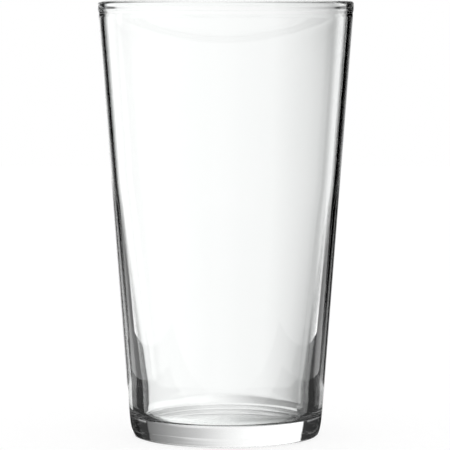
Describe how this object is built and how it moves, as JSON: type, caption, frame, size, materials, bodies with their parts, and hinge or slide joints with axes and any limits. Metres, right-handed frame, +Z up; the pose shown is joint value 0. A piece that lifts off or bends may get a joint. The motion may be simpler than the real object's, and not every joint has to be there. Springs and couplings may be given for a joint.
{
  "type": "pint glass",
  "caption": "Tall conical beer glass in clear glass, with straight flaring walls, a thick rounded foot and a fine beaded rim.",
  "frame": {"origin": "centre of the standing ring, on the glass's axis, at table height", "axes": "+Z up along the axis towards the rim; X and Y are free, because the glass is round"},
  "size_m": [0.0882, 0.0882, 0.1504],
  "materials": {
    "clear_glass": "fire-polished clear soda-lime glass"
  },
  "bodies": {
    "root": {"glass_body": "clear_glass"}
  },
  "joints": []
}
